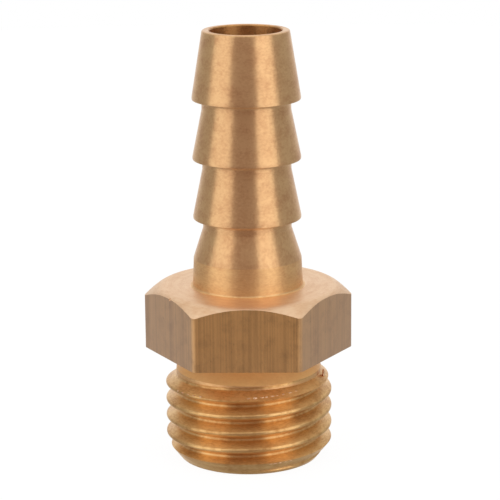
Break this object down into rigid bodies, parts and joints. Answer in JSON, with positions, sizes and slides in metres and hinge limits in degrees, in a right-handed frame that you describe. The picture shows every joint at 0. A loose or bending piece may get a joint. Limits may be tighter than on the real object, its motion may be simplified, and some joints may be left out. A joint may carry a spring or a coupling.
{
  "type": "hose barb tail",
  "caption": "Brass hose tail with a barbed nozzle, a spanner hexagon and a male parallel pipe thread, bored right through.",
  "frame": {"origin": "centre of the threaded end face, which the part stands on", "axes": "+Z along the bore from the threaded end towards the barbed nose; +X towards one corner of the hexagon"},
  "size_m": [0.016, 0.014, 0.0333],
  "materials": {
    "brass": "satin turned brass with fine lathe marks"
  },
  "bodies": {
    "root": {"hose_tail": "brass"}
  },
  "joints": []
}
